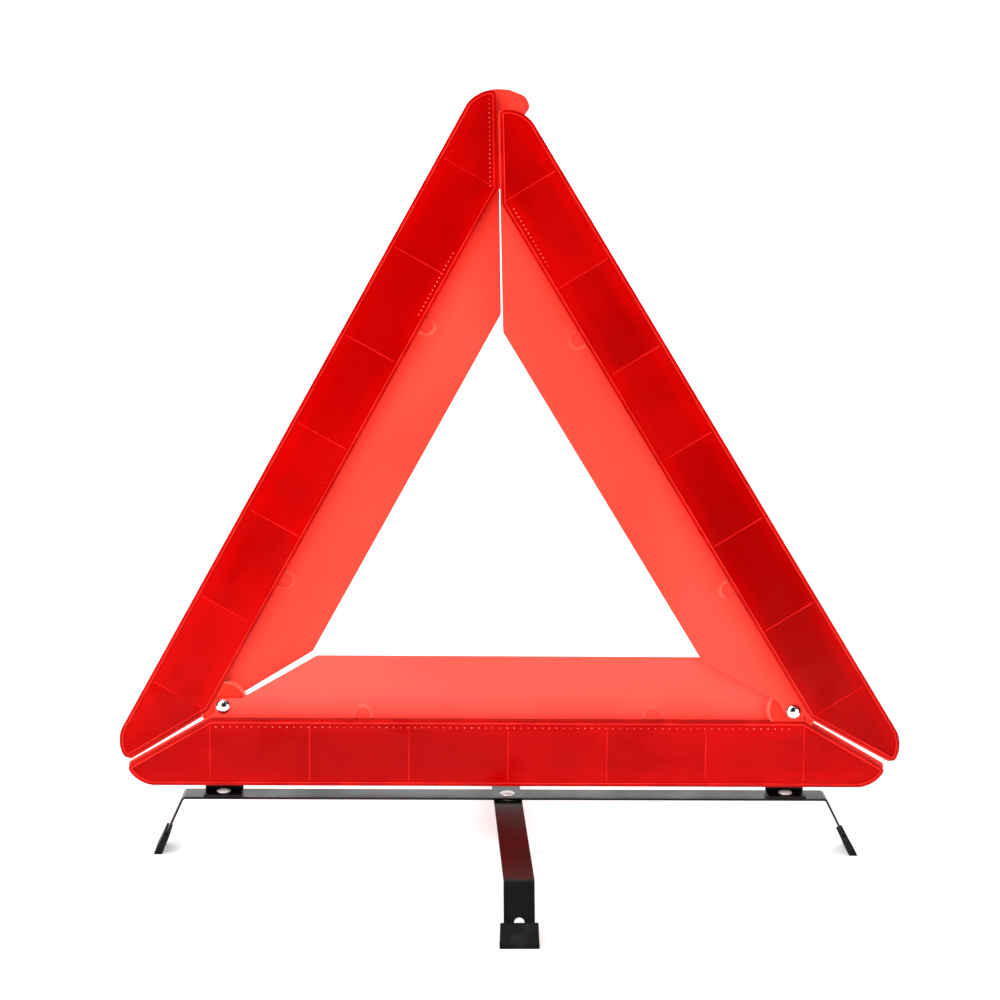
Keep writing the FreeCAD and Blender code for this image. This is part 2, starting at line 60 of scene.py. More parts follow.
LENS_NEAR = 6.4 * MM  # from the arm's middle line to the lens
LENS_FAR = 44.1 * MM
LENS_MIDDLE = (LENS_NEAR + LENS_FAR) / 2
LENS_HEIGHT = 5.8 * MM
LENS_SETBACK = 2.2 * MM
MITRE = math.radians(30)
SHOULDER_REACH = 47.1 * MM
SHOULDER_STEP = math.radians(58)
APEX_TRIM = 3.5 * MM
DIVIDERS_EACH_SIDE = 3
DIVIDER_PITCH = 56 * MM
LAST_DIVIDER = DIVIDERS_EACH_SIDE * DIVIDER_PITCH
PRISM_ALONG = 1.15 * MM
PRISM_ACROSS = 1.35 * MM

PANEL = 2 * MM
LAYER_PITCH = 8.2 * MM
LAYER_GAP = 0.15 * MM
BOSS_RADIUS = 13.7 * MM
RIB_RADIUS = 4.9 * MM
RIB_MIDDLE = (82 * MM, -4.0 * MM, 0)  # the same at both ends of every arm

STRIP = 1.2 * MM  # steel of the stand
LEG_TURN = math.radians(0.8)
STEEP_LEG = math.radians(66)
WIDE_LEG = math.radians(63)
BOOT_LENGTH = 12.6 * MM
BOOT_WIDTH = 20.8 * MM
BOOT_DEPTH = 4.5 * MM
BOOT_SPARE = 6 * MM  # length that the ground cuts away
SOLE = 2.2 * MM
WELT_LEVEL = 1.1 * MM
WELT = 0.5 * MM

JOINTS = {joint["name"]: joint for joint in frame["record"]["behaviour"]["joints"]}
right_pivot = Vector(JOINTS["right_arm_fold"]["pos_m"])
fold_axis = Vector(JOINTS["left_arm_fold"]["axis"])
HALF = right_pivot.x
LEAN = math.asin(fold_axis.z)
LEFT_TURN = math.radians(180 - JOINTS["left_arm_fold"]["range_deg"][0])
RIGHT_TURN = math.radians(180 - JOINTS["right_arm_fold"]["range_deg"][1])
UPRIGHT = Matrix.Rotation(math.radians(90) - LEAN, 4, "X")
SIGN = Matrix.Translation((0, right_pivot.y, right_pivot.z)) @ UPRIGHT


def arm_place(pivot_x, end, turn, depth):
    """From an arm's own frame to the sign's: x along the arm, y across it, z towards the driver."""
    pivot = Matrix.Translation((pivot_x, 0, depth))
    return SIGN @ pivot @ Matrix.Rotation(turn, 4, "Z") @ Matrix.Translation((-end * HALF, 0, 0))


ARMS = {
    "base": arm_place(0, 0, 0, 0),
    "left": arm_place(-HALF, 1, LEFT_TURN, -LAYER_PITCH),
    "right": arm_place(HALF, -1, RIGHT_TURN, LAYER_PITCH),
}
BODY_OF_ARM = {"base": "base", "left": "left_arm", "right": "right_arm"}

# ------------------------------------------------------------------ material helpers


class Finish:
    """A material under construction: its node tree and the shader the nodes feed."""

    def __init__(self, name):
        self.material = bpy.data.materials.new(name)
        self.material.use_nodes = True
        self.tree = self.material.node_tree
        self.shader = self.tree.nodes["Principled BSDF"]
        self.place = self.add("ShaderNodeTexCoord").outputs["Object"]

    def add(self, kind, settings=None, **inputs):
        node = self.tree.nodes.new(kind)
        for name, value in (settings or {}).items():
            setattr(node, name, value)
        for name, value in inputs.items():
            self.feed(value, node.inputs[int(name[1:]) if name[1:].isdigit() else name.replace("_", " ")])
        return node

    def feed(self, value, socket):
        if isinstance(value, bpy.types.NodeSocket):
            self.tree.links.new(value, socket)
        else:
            socket.default_value = value

    def set(self, **inputs):
        for name, value in inputs.items():
            self.feed(value, self.shader.inputs[name.replace("_", " ")])

    def settle_on(self, place):
        """Read patterns in the frame that this matrix places."""
        mapping = self.add("ShaderNodeMapping", {"vector_type": "TEXTURE"}, Vector=self.place)
        mapping.inputs["Location"].default_value = place.to_translation()
        mapping.inputs["Rotation"].default_value = place.to_euler()
        self.place = mapping.outputs["Vector"]
        axes = self.add("ShaderNodeSeparateXYZ", Vector=self.place).outputs
        return axes["X"], axes["Y"]

    def math(self, operation, first, second=0.0, third=0.0):
        node = self.add("ShaderNodeMath", {"operation": operation}, _0=first, _1=second, _2=third)
        return node.outputs["Value"]

    def waves(self, value, pitch):
        return self.math("SINE", self.math("MULTIPLY", value, 2 * math.pi / pitch))

    def distance(self, along, across, point):
        """How far a place is from a point, seen straight on."""
        flat = self.add("ShaderNodeCombineXYZ", X=along, Y=across).outputs["Vector"]
        node = self.add("ShaderNodeVectorMath", {"operation": "DISTANCE"}, _0=flat, _1=point)
        return node.outputs["Value"]

    def ramp_between(self, value, low, high, to_low=0.0, to_high=1.0):
        """Smoothly from to_low at low to to_high at high."""
        node = self.add("ShaderNodeMapRange", {"interpolation_type": "SMOOTHSTEP"}, Value=value)
        node.inputs["From Min"].default_value = low
        node.inputs["From Max"].default_value = high
        node.inputs["To Min"].default_value = to_low
        node.inputs["To Max"].default_value = to_high
        return node.outputs["Result"]

    def cloud(self, scale, detail=3.0, stretch=None):
        """Soft noise: a larger scale is a finer pattern."""
        vector = self.place
        if stretch:
            vector = self.add("ShaderNodeMapping", Vector=vector, Scale=stretch).outputs["Vector"]
        return self.add("ShaderNodeTexNoise", Vector=vector, Scale=scale, Detail=detail).outputs["Fac"]

    def mix(self, factor, first, second):
        """Blend two colours: sockets 6, 7 and output 2 are the node's colour ones."""
        return self.add("ShaderNodeMix", {"data_type": "RGBA"}, _0=factor, _6=first, _7=second).outputs[2]

    def bump(self, height, distance, strength=1.0):
        node = self.add("ShaderNodeBump", Height=height, Distance=distance, Strength=strength)
        self.feed(node.outputs["Normal"], self.shader.inputs["Normal"])


def colour(red, green, blue):
    return (red, green, blue, 1.0)


# ------------------------------------------------------------------ materials


def lens_plastic(name, place, deep, bright):
    """Glossy red reflector plastic: moulded cells, each with its own tone and fine prism lines."""
    finish = Finish(name)
    along, across = finish.settle_on(place)
    cell = finish.math("FLOOR", finish.math("DIVIDE", along, DIVIDER_PITCH))
    tone = finish.add("ShaderNodeTexWhiteNoise", {"noise_dimensions": "1D"}, W=cell).outputs["Value"]
    soft = finish.cloud(14.0, 2.0)
    streak = finish.cloud(30.0, 3.0, stretch=(0.35, 1.0, 1.0))
    # painted light: the field is lighter towards the lens's near and far edges and darker along its
    # middle, for how the light falls through it
    off_middle = finish.math("ABSOLUTE", finish.math("ADD", across, LENS_MIDDLE))
    edge_painted_light = finish.ramp_between(off_middle, 6 * MM, 16 * MM)
    lift = finish.math("MULTIPLY", soft, 0.75)
    lift = finish.math("MULTIPLY_ADD", streak, 0.35, lift)
    lift = finish.math("MULTIPLY_ADD", edge_painted_light, 0.28, lift)
    lift = finish.math("MULTIPLY_ADD", tone, 0.30, lift)
    base = finish.mix(finish.ramp_between(lift, 0.45, 1.15), deep, bright)
    from_middle = finish.math("ABSOLUTE", along)
    near_end = finish.ramp_between(from_middle, LAST_DIVIDER - 4 * MM, LAST_DIVIDER + 6 * MM, 0.0, 0.14)
    patch_along = finish.ramp_between(finish.math("ADD", finish.cloud(42.0, 1.0), near_end), 0.56, 0.66)
    broad = finish.cloud(36.0, 1.0, stretch=(1.0, 1.7, 1.0))
    patch_across = finish.ramp_between(finish.math("ADD", broad, near_end), 0.55, 0.64)
    prisms = finish.math(
        "ADD", finish.math("MULTIPLY", finish.waves(along, PRISM_ALONG), patch_along),
        finish.math("MULTIPLY", finish.waves(across, PRISM_ACROSS), patch_across),
    )
    shade = finish.math("MULTIPLY", prisms, 0.42)
    base = finish.mix(finish.math("MAXIMUM", shade, 0.0), base, colour(0.22, 0.0, 0.0))
    finish.set(Base_Color=base, IOR=1.49, Specular_IOR_Level=0.06)
    finish.set(Roughness=finish.ramp_between(streak, 0.3, 0.8, 0.10, 0.22))
    micro = finish.cloud(900.0, 2.0)
    height = finish.math("MULTIPLY_ADD", prisms, 0.35, finish.math("MULTIPLY", micro, 0.2))
    finish.bump(height, 0.06 * MM, 0.6)
    return finish.material


def lens_edge_plastic(name, shade, glow):
    """The same plastic where it is solid: the border, its bright ridge and the side walls; the ridge's
    brightness is a painted highlight and the walls' darker red is painted shade.
    """
    finish = Finish(name)
    soft = finish.cloud(60.0, 2.0)
    finish.set(Base_Color=finish.mix(finish.ramp_between(soft, 0.35, 0.65), shade, glow))
    finish.set(Roughness=finish.ramp_between(finish.cloud(220.0), 0.3, 0.7, 0.12, 0.25))
    finish.set(IOR=1.49, Specular_IOR_Level=0.12)
    finish.bump(finish.cloud(700.0, 2.0), 0.03 * MM, 0.5)
    return finish.material


def panel_plastic(name, place, boss_end, dull, vivid):
    """Fluorescent panel with moulding flow: painted shade makes it redder by the lens, on the pivot boss
    and inside the ribs; the ribs and the boss edge get painted highlights.
    """
    finish = Finish(name)
    along, across = finish.settle_on(place)
    flow = finish.cloud(9.0, 3.0, stretch=(0.6, 1.6, 1.0))
    base = finish.mix(finish.ramp_between(flow, 0.35, 0.7), dull, vivid)
    # painted shade: the panel is redder close to the lens
    painted_shade_by_lens = finish.ramp_between(across, 10 * MM, -LENS_NEAR)
    base = finish.mix(finish.math("MULTIPLY", painted_shade_by_lens, 0.55), base, colour(0.95, 0.030, 0.016))
    if boss_end:
        # painted shade: the boss disc is a darker red, for the shade that lies on it
        from_pivot = finish.distance(along, across, (boss_end * HALF, 0, 0))
        inside = finish.ramp_between(from_pivot, BOSS_RADIUS + 0.5 * MM, BOSS_RADIUS - 0.4 * MM)
        base = finish.mix(inside, base, colour(0.92, 0.020, 0.005))
        # painted highlight: a pale ring along the boss's edge
        off_edge = finish.math("ABSOLUTE", finish.math("SUBTRACT", from_pivot, BOSS_RADIUS))
        edge = finish.ramp_between(off_edge, 0.7 * MM, 0.2 * MM, 0.0, 0.8)
        base = finish.mix(edge, base, colour(1.0, 0.20, 0.14))
    from_rib = finish.distance(finish.math("ABSOLUTE", along), across, RIB_MIDDLE)
    # painted shade: darker red inside each rib
    rib_painted_shade = finish.ramp_between(from_rib, 4.6 * MM, 2.6 * MM, 0.0, 0.35)
    base = finish.mix(rib_painted_shade, base, colour(0.90, 0.036, 0.020))
    # painted highlight: a pale line along each rib, broken up by noise
    off_rib = finish.math("ABSOLUTE", finish.math("SUBTRACT", from_rib, RIB_RADIUS))
    glint = finish.ramp_between(finish.cloud(90.0, 1.0), 0.42, 0.62, 0.08, 0.45)
    rib_painted_highlight = finish.math("MULTIPLY", finish.ramp_between(off_rib, 1.6 * MM, 0.2 * MM), glint)
    base = finish.mix(rib_painted_highlight, base, colour(1.0, 0.18, 0.13))
    speck = finish.ramp_between(finish.cloud(1500.0, 1.0), 0.70, 0.78, 0.0, 0.25)
    base = finish.mix(speck, base, colour(0.98, 0.16, 0.12))
    finish.set(Base_Color=base, IOR=1.49, Specular_IOR_Level=0.22)
    finish.set(Roughness=finish.ramp_between(flow, 0.3, 0.75, 0.30, 0.42))
    height = finish.math("MULTIPLY_ADD", finish.cloud(650.0, 2.0), 0.5, finish.cloud(45.0, 2.0))
    finish.bump(height, 0.05 * MM, 0.5)
    return finish.material


def black_enamel():
    """Black paint on the steel strip, with slight orange peel and rubbed specks."""
    finish = Finish("black_enamel")
    peel = finish.cloud(420.0, 2.0)
    haze = finish.cloud(26.0, 3.0)
    shade = finish.ramp_between(haze, 0.35, 0.7)
    base = finish.mix(shade, colour(0.0010, 0.0010, 0.0012), colour(0.0026, 0.0024, 0.0026))
    rub = finish.ramp_between(finish.cloud(1100.0, 1.0), 0.72, 0.80, 0.0, 0.5)
    base = finish.mix(rub, base, colour(0.03, 0.03, 0.032))
    finish.set(Base_Color=base, IOR=1.5, Specular_IOR_Level=0.25)
    finish.set(Roughness=finish.ramp_between(haze, 0.3, 0.7, 0.25, 0.40))
    finish.bump(peel, 0.04 * MM, 0.4)
    return finish.material


def bright_steel():
    """Polished rivet with a nickel look, finely scratched by the setting tool."""
    finish = Finish("polished_rivet")
    scratch = finish.cloud(900.0, 4.0, stretch=(1.0, 0.12, 1.0))
    haze = finish.cloud(300.0, 2.0)
    base = finish.mix(haze, colour(0.62, 0.62, 0.64), colour(0.86, 0.86, 0.87))
    finish.set(Base_Color=base, Metallic=1.0)
    finish.set(Roughness=finish.ramp_between(scratch, 0.35, 0.7, 0.06, 0.20))
    finish.bump(scratch, 0.02 * MM, 0.35)
    return finish.material


def satin_steel():
    """Zinc-plated rivet on the stand, softly clouded and not polished; the pink in its colour is a
    painted reflection of the red plastic.
    """
    finish = Finish("satin_rivet")
    cloud = finish.cloud(420.0, 3.0)
    # painted reflection: the pink in these colours stands for the red plastic seen in the rivet
    base = finish.mix(cloud, colour(0.70, 0.62, 0.61), colour(0.92, 0.86, 0.85))
    finish.set(Base_Color=base, Metallic=0.45)
    finish.set(Roughness=finish.ramp_between(cloud, 0.3, 0.7, 0.28, 0.42))
    finish.bump(cloud, 0.03 * MM, 0.4)
    return finish.material


def boot_rubber():
    """Black rubber, dusty in patches, with a fine moulded grain."""
    finish = Finish("boot_rubber")
    grain = finish.cloud(1300.0, 2.0)
    dust = finish.ramp_between(finish.cloud(130.0, 4.0), 0.45, 0.8)
    base = finish.mix(dust, colour(0.005, 0.005, 0.0048), colour(0.014, 0.0137, 0.0125))
    finish.set(Base_Color=base, IOR=1.45, Specular_IOR_Level=0.16)
    finish.set(Roughness=finish.ramp_between(grain, 0.3, 0.7, 0.45, 0.65))
    finish.bump(grain, 0.08 * MM, 0.6)
    return finish.material


def nylon():
    """Milky washer between the two strips."""
    finish = Finish("nylon_washer")
    soft = finish.cloud(500.0, 2.0)
    finish.set(Base_Color=finish.mix(soft, colour(0.60, 0.59, 0.55), colour(0.74, 0.73, 0.69)))
    finish.set(Roughness=finish.ramp_between(soft, 0.3, 0.7, 0.4, 0.55))
    finish.bump(soft, 0.02 * MM, 0.4)
    return finish.material


# one plastic with different tones per arm, as painted light for how the light falls on each arm; the
# right arm's lens is darkest
LENS_TONES_PAINTED_LIGHT = {
    "base": (colour(0.36, 0.0002, 0.0002), colour(0.49, 0.0006, 0.0006)),
    "left": (colour(0.37, 0.0001, 0.0001), colour(0.51, 0.0003, 0.0002)),
    "right": (colour(0.28, 0.0001, 0.0001), colour(0.46, 0.0003, 0.0002)),
}
lens_field = {arm: lens_plastic(f"{arm}_lens_field", ARMS[arm], *LENS_TONES_PAINTED_LIGHT[arm]) for arm in ARMS}
lens_border = lens_edge_plastic("lens_border", colour(0.36, 0.0005, 0.0005), colour(0.50, 0.001, 0.0005))
# the side walls' darker red is painted shade on the same plastic
lens_wall = lens_edge_plastic("lens_wall", colour(0.22, 0.0005, 0.0005), colour(0.36, 0.001, 0.001))
# the ridge's light red is a painted highlight on the same plastic
lens_ridge_painted_highlight = lens_edge_plastic("lens_ridge_painted_highlight", colour(0.86, 0.012, 0.008), colour(0.95, 0.030, 0.020))
lens_rib = lens_edge_plastic("lens_rib", colour(0.58, 0.001, 0.001), colour(0.78, 0.008, 0.006))
# the beads' pale pink is a painted glint on the same red plastic
lens_bead_painted_glint = lens_edge_plastic("lens_bead_painted_glint", colour(0.90, 0.07, 0.05), colour(1.0, 0.28, 0.24))
# the base panel's pinker pair is a painted sheen, for the light from above on its backward-leaning face;
# the arms' panels keep the plain red pair
ROSE_PANEL_PAINTED_SHEEN = (colour(0.95, 0.076, 0.052), colour(0.97, 0.092, 0.070))
RED_PANEL = (colour(0.95, 0.046, 0.026), colour(0.97, 0.062, 0.040))
panels = {
    "base": panel_plastic("base_panel_plastic", ARMS["base"], 1, *ROSE_PANEL_PAINTED_SHEEN),
    "left": panel_plastic("left_panel_plastic", ARMS["left"], 1, *RED_PANEL),
    "right": panel_plastic("right_panel_plastic", ARMS["right"], 0, *RED_PANEL),
}
enamel = black_enamel()
steel = bright_steel()
satin = satin_steel()
rubber = boot_rubber()
washer_nylon = nylon()

# ------------------------------------------------------------------ modelling helpers


def focus(piece):
    """Work on this piece alone."""
    bpy.ops.object.select_all(action="DESELECT")
    piece.select_set(True)
    bpy.context.view_layer.objects.active = piece


def edit(piece, mode="FACE"):
    focus(piece)
    bpy.ops.object.mode_set(mode="EDIT")
    bpy.ops.mesh.select_mode(type=mode)
    bpy.ops.mesh.select_all(action="DESELECT")


def done():
    bpy.ops.object.mode_set(mode="OBJECT")


def pick_faces(piece, wanted):
    """Select the faces whose middle and normal pass the test."""
    bpy.ops.mesh.select_all(action="DESELECT")
    mesh = bmesh.from_edit_mesh(piece.data)
    for face in mesh.faces:
        face.select_set(bool(wanted(face.calc_center_median(), face.normal)))
    bmesh.update_edit_mesh(piece.data)


def pick_edges(piece, wanted):
    """Select the edges whose two ends pass the test."""
    bpy.ops.mesh.select_all(action="DESELECT")
    mesh = bmesh.from_edit_mesh(piece.data)
    for edge in mesh.edges:
        edge.select_set(bool(wanted(edge.verts[0].co, edge.verts[1].co)))
    bmesh.update_edit_mesh(piece.data)


def primitive(add, **settings):
    """A primitive made with nothing else selected, with its place in its mesh."""
    bpy.ops.object.select_all(action="DESELECT")
    add(**settings)
    bpy.ops.object.transform_apply(location=True, rotation=True, scale=True)
    return bpy.context.object


def block(name, size, centre):
    """A plain block to cut a piece from."""
    piece = primitive(bpy.ops.mesh.primitive_cube_add, size=1.0, location=centre, scale=size)
    piece.name = name
    piece.data.name = name
    return piece


def trim(piece, point, normal):
    """Cut away what lies beyond a plane and close the cut."""
    edit(piece)
    bpy.ops.mesh.select_all(action="SELECT")
    bpy.ops.mesh.bisect(plane_co=point, plane_no=normal, use_fill=True, clear_outer=True)
    done()


def modifier(piece, kind, **settings):
    """Add a modifier and apply it."""
    focus(piece)
    made = piece.modifiers.new(kind.lower(), kind)
    for name, value in settings.items():
        setattr(made, name, value)
    bpy.ops.object.modifier_apply(modifier=made.name)


def soften(piece, width, segments=2):
    """Ease every sharp edge."""
    modifier(piece, "BEVEL", width=width, segments=segments, limit_method="ANGLE",
             angle_limit=math.radians(EASE_FROM), use_clamp_overlap=False, harden_normals=False)


def repeat(piece, count, pitch):
    """The same shape again and again along x."""
    modifier(piece, "ARRAY", count=count, use_relative_offset=False, use_constant_offset=True,
             constant_offset_displace=(pitch, 0, 0))


def smooth(piece, angle=32):
    """Smooth the rounds and keep the flats flat."""
    focus(piece)
    bpy.ops.object.shade_smooth_by_angle(angle=math.radians(angle))
    modifier(piece, "WEIGHTED_NORMAL", keep_sharp=True, weight=80)


def put(piece, place):
    """Move a piece to a place and keep that place in its mesh."""
    piece.matrix_world = place
    focus(piece)
    bpy.ops.object.transform_apply(location=True, rotation=True, scale=True)


def paint(piece, *materials):
    piece.data.materials.clear()
    for material in materials:
        piece.data.materials.append(material)


def join(name, *pieces):
    bpy.ops.object.select_all(action="DESELECT")
    for piece in pieces:
        piece.select_set(True)
    bpy.context.view_layer.objects.active = pieces[0]
    bpy.ops.object.join()
    pieces[0].name = name
    pieces[0].data.name = name
    return pieces[0]


def stands_for(piece, body, slot, *nodes):
    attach(piece, body)
    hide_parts(*nodes)


def eased_copy(node, name, width, segments=2):
    """The CAD part with its faces merged and every sharp edge eased."""
    mesh = NODES[node].data.copy()
    piece = bpy.data.objects.new(name, mesh)
    mesh.name = name
    bpy.context.scene.collection.objects.link(piece)
    edit(piece, "VERT")
    bpy.ops.mesh.select_all(action="SELECT")
    bpy.ops.mesh.remove_doubles(threshold=0.002 * MM)
    bpy.ops.mesh.dissolve_limited(angle_limit=math.radians(0.3))
    done()
    soften(piece, width, segments)
    smooth(piece)
    return piece


# ------------------------------------------------------------------ lenses

SETBACK_AT_PIVOT = LENS_SETBACK / math.cos(MITRE)
INNER_CORNER = HALF + (LENS_NEAR - SETBACK_AT_PIVOT) / math.tan(MITRE)
FULL_TIP = HALF + SHOULDER_REACH
SHORT_TIP = FULL_TIP - APEX_TRIM
SHOULDERS = {"base": (FULL_TIP, FULL_TIP), "left": (FULL_TIP, FULL_TIP), "right": (FULL_TIP, SHORT_TIP)}
BORDER = LENS_HEIGHT - 0.40 * MM
BLANK_SPARE = 20 * MM

# how far each corner's rounding runs, and its steps
SHOULDER_ROUND = (9.0 * MM, 12)
TIP_ROUND = (2.7 * MM, 6)
INNER_ROUND = (1.1 * MM, 4)

# width and rise of each band from the outline inwards
BANDS = (
    (0.40 * MM, 0.22 * MM),  # eased outer edge
    (1.15 * MM, -0.10 * MM),  # border
    (0.22 * MM, 0.28 * MM),  # flank of the ridge
    (0.30 * MM, 0.0),  # top of the ridge
    (0.25 * MM, -0.55 * MM),  # drop to the field
)
RIDGE_LOW = BORDER + 0.20 * MM
SIDE_WALL = 0.3  # the side walls' normals have less z than this
FIELD_AREA = 0.004  # square metres: only the field is larger

DIVIDER_WIDTH = 0.55 * MM
DIVIDER_HEIGHT = 0.5 * MM
DIVIDER_LEVEL = BORDER - 0.25 * MM
DIVIDER_ENDS = 6.2 * MM  # a divider is this much shorter than the lens is wide

BEAD_RADIUS = 0.42 * MM
BEAD_FLATNESS = 0.7
BEAD_LEVEL = BORDER - 0.30 * MM
BEAD_LINE = -LENS_NEAR - 4.3 * MM
END_BEAD = INNER_CORNER - 3 * MM
# each row's first bead along the arm, heading, number of beads and pitch
BEAD_ROWS = {
    "base": [(-END_BEAD, 0, 82, 4.0 * MM)],
    "left": [
        (40 * MM - END_BEAD, 0, 16, 2.6 * MM),
        (0.4 * MM - INNER_CORNER, math.pi + MITRE, 20, 2.5 * MM),
    ],
    "right": [(END_BEAD - 39 * MM, 0, 15, 2.6 * MM)],
}


def tip_beyond(shoulder):
    """The point of the tip that follows a shoulder at this distance from the arm's middle."""
    rise = LENS_FAR - math.tan(MITRE) * (shoulder - HALF) - SETBACK_AT_PIVOT
    run = rise / (math.sin(SHOULDER_STEP) + math.tan(MITRE) * math.cos(SHOULDER_STEP))
    return shoulder + run * math.cos(SHOULDER_STEP), -LENS_FAR + run * math.sin(SHOULDER_STEP)


def lens_blank(arm):
    """A block cut to the lens's outline, with its corners rounded."""
    size = (2 * tip_beyond(FULL_TIP)[0] + BLANK_SPARE, LENS_FAR - LENS_NEAR, BORDER)
    piece = block(f"{arm}_lens_cover", size, (0, -LENS_MIDDLE, BORDER / 2))
    for side, shoulder in zip((-1, 1), SHOULDERS[arm]):
        mitre_normal = (side * math.sin(MITRE), math.cos(MITRE), 0)
        trim(piece, (side * INNER_CORNER, -LENS_NEAR, 0), mitre_normal)
        shoulder_normal = (side * math.sin(SHOULDER_STEP), -math.cos(SHOULDER_STEP), 0)
        trim(piece, (side * shoulder, -LENS_FAR, 0), shoulder_normal)
        tip, tip_across = tip_beyond(shoulder)
        for reach, across, (run, steps) in (
            (shoulder, -LENS_FAR, SHOULDER_ROUND), (tip, tip_across, TIP_ROUND),
            (INNER_CORNER, -LENS_NEAR, INNER_ROUND),
        ):
            corner = Vector((side * reach, across))
            edit(piece, "EDGE")
            pick_edges(piece, lambda a, b: (a - b).xy.length < SAME and (a.xy - corner).length < 0.1 * MM)
            bpy.ops.mesh.bevel(
                offset=run, segments=steps, profile=0.5, affect="EDGES", offset_type="OFFSET",
            )
            done()
    return piece


def lens_cover(arm):
    """The lens: an eased outer edge, a flat border, a raised ridge and the optical field below it."""
    piece = lens_blank(arm)
    edit(piece)
    pick_faces(piece, lambda middle, normal: normal.z > UPWARD)
    for width, rise in BANDS:
        bpy.ops.mesh.inset(thickness=width, depth=rise)
    done()
    border, field, ridge, side_wall = range(4)
    paint(piece, lens_border, lens_field[arm], lens_ridge_painted_highlight, lens_wall)
    for face in piece.data.polygons:
        face.material_index = border
        if face.normal.z < SIDE_WALL:
            face.material_index = side_wall
        elif face.area > FIELD_AREA:
            face.material_index = field
        elif face.center.z > RIDGE_LOW:
            face.material_index = ridge
    return piece


def dividers(arm):
    """Thin raised ribs that part the field into cells."""
    size = (DIVIDER_WIDTH, LENS_FAR - LENS_NEAR - DIVIDER_ENDS, DIVIDER_HEIGHT)
    piece = block(f"{arm}_dividers", size, (-LAST_DIVIDER, -LENS_MIDDLE, DIVIDER_LEVEL))
    edit(piece, "EDGE")
    pick_edges(piece, lambda a, b: min(a.z, b.z) > DIVIDER_LEVEL and abs(a.x - b.x) < SAME)
    bpy.ops.mesh.bevel(offset=0.18 * MM, segments=2, affect="EDGES")
    done()
    repeat(piece, 2 * DIVIDERS_EACH_SIDE + 1, DIVIDER_PITCH)
    paint(piece, lens_rib)
    return piece


def bead_row(name, start, heading, count, pitch):
    """A row of small domed beads moulded inside the ridge."""
    bead = primitive(bpy.ops.mesh.primitive_uv_sphere_add, segments=8, ring_count=4, radius=BEAD_RADIUS)
    bead.name = name
    edit(bead, "VERT")
    bpy.ops.mesh.select_all(action="SELECT")
    bpy.ops.transform.resize(value=(1.0, 1.0, BEAD_FLATNESS))
    done()
    repeat(bead, count, pitch)
    put(bead, Matrix.Translation((start, BEAD_LINE, BEAD_LEVEL)) @ Matrix.Rotation(heading, 4, "Z"))
    paint(bead, lens_bead_painted_glint)
    smooth(bead, 60)
    return bead


def add_lens(arm):
    """One arm's lens with its dividers, and the bead rows that lie in it."""
    whole = join(f"{arm}_lens_cover", lens_cover(arm), dividers(arm))
    smooth(whole, 40)
    put(whole, ARMS[arm])
    stands_for(whole, BODY_OF_ARM[arm], "lens", f"{arm}_lens")
    beads = [bead_row(f"{arm}_beads_{index}", *row) for index, row in enumerate(BEAD_ROWS[arm])]
    piece = join(f"{arm}_bead_row", *beads)
    put(piece, ARMS[arm])
    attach(piece, BODY_OF_ARM[arm])


for arm_name in ARMS:
    add_lens(arm_name)

# ------------------------------------------------------------------ panels

for arm_name in ARMS:
    panel = eased_copy(f"{arm_name}_panel", f"{arm_name}_panel_moulding", 0.30 * MM)
    paint(panel, panels[arm_name])
    stands_for(panel, BODY_OF_ARM[arm_name], "panel", f"{arm_name}_panel")

# ------------------------------------------------------------------ rivets and washers

STRAIGHT_DOWN = -0.99  # the eased rim of a clinch leans more than this

# radius and height of each head, radius of its shank
PIVOT_HEAD = (4.3 * MM, 2.4 * MM, 2.5 * MM)
LEG_HEAD = (4.2 * MM, 1.2 * MM, 2.5 * MM)
BRACKET_HEAD = (3.9 * MM, 1.2 * MM, 2.0 * MM)
# radius and height of each clinched end
PIVOT_CLINCH = (4.0 * MM, 1.3 * MM)
LEG_CLINCH = (4.2 * MM, 1.3 * MM)
BRACKET_CLINCH = (3.2 * MM, 1.0 * MM)
# what each shank passes through
PIVOT_WASHER = 0.9 * MM
LEG_GAP = 0.4 * MM
CLINCH_GAP = 0.1 * MM
PIVOT_STACK = PANEL + LAYER_PITCH + LAYER_GAP + PIVOT_WASHER
LEG_STACK = 2 * STRIP + LEG_GAP + CLINCH_GAP
BRACKET_STACK = 2 * STRIP


def dome_rivet(name, metal, head, height, shank, length, tail, tail_height):
    """A set rivet: domed head above zero, shank, and a dished clinch at the far end."""
    dome = primitive(bpy.ops.mesh.primitive_uv_sphere_add, segments=48, ring_count=24, radius=head)
    trim(dome, (0, 0, 0), (0, 0, -1))
    edit(dome, "VERT")
    bpy.ops.mesh.select_all(action="SELECT")
    bpy.ops.transform.resize(value=(1, 1, height / head), center_override=(0, 0, 0))
    done()
    round_bar = bpy.ops.mesh.primitive_cylinder_add
    stem = primitive(round_bar, vertices=32, radius=shank, depth=length, location=(0, 0, -length / 2))
    tail_middle = (0, 0, -length - tail_height / 2)
    clinch = primitive(round_bar, vertices=32, radius=tail, depth=tail_height, location=tail_middle)
    low = -length - tail_height
    edit(clinch, "EDGE")
    pick_edges(clinch, lambda a, b: max(a.z, b.z) < low + SAME)
    bpy.ops.mesh.bevel(offset=tail_height * 0.45, segments=3, affect="EDGES")
    bpy.ops.mesh.select_mode(type="FACE")
    pick_faces(clinch, lambda middle, normal: normal.z < STRAIGHT_DOWN)
    bpy.ops.mesh.inset(thickness=tail * 0.25)
    bpy.ops.mesh.inset(thickness=tail * 0.12, depth=-tail_height * 0.4)
    done()
    piece = join(name, dome, stem, clinch)
    smooth(piece, 35)
    paint(piece, metal)
    return piece


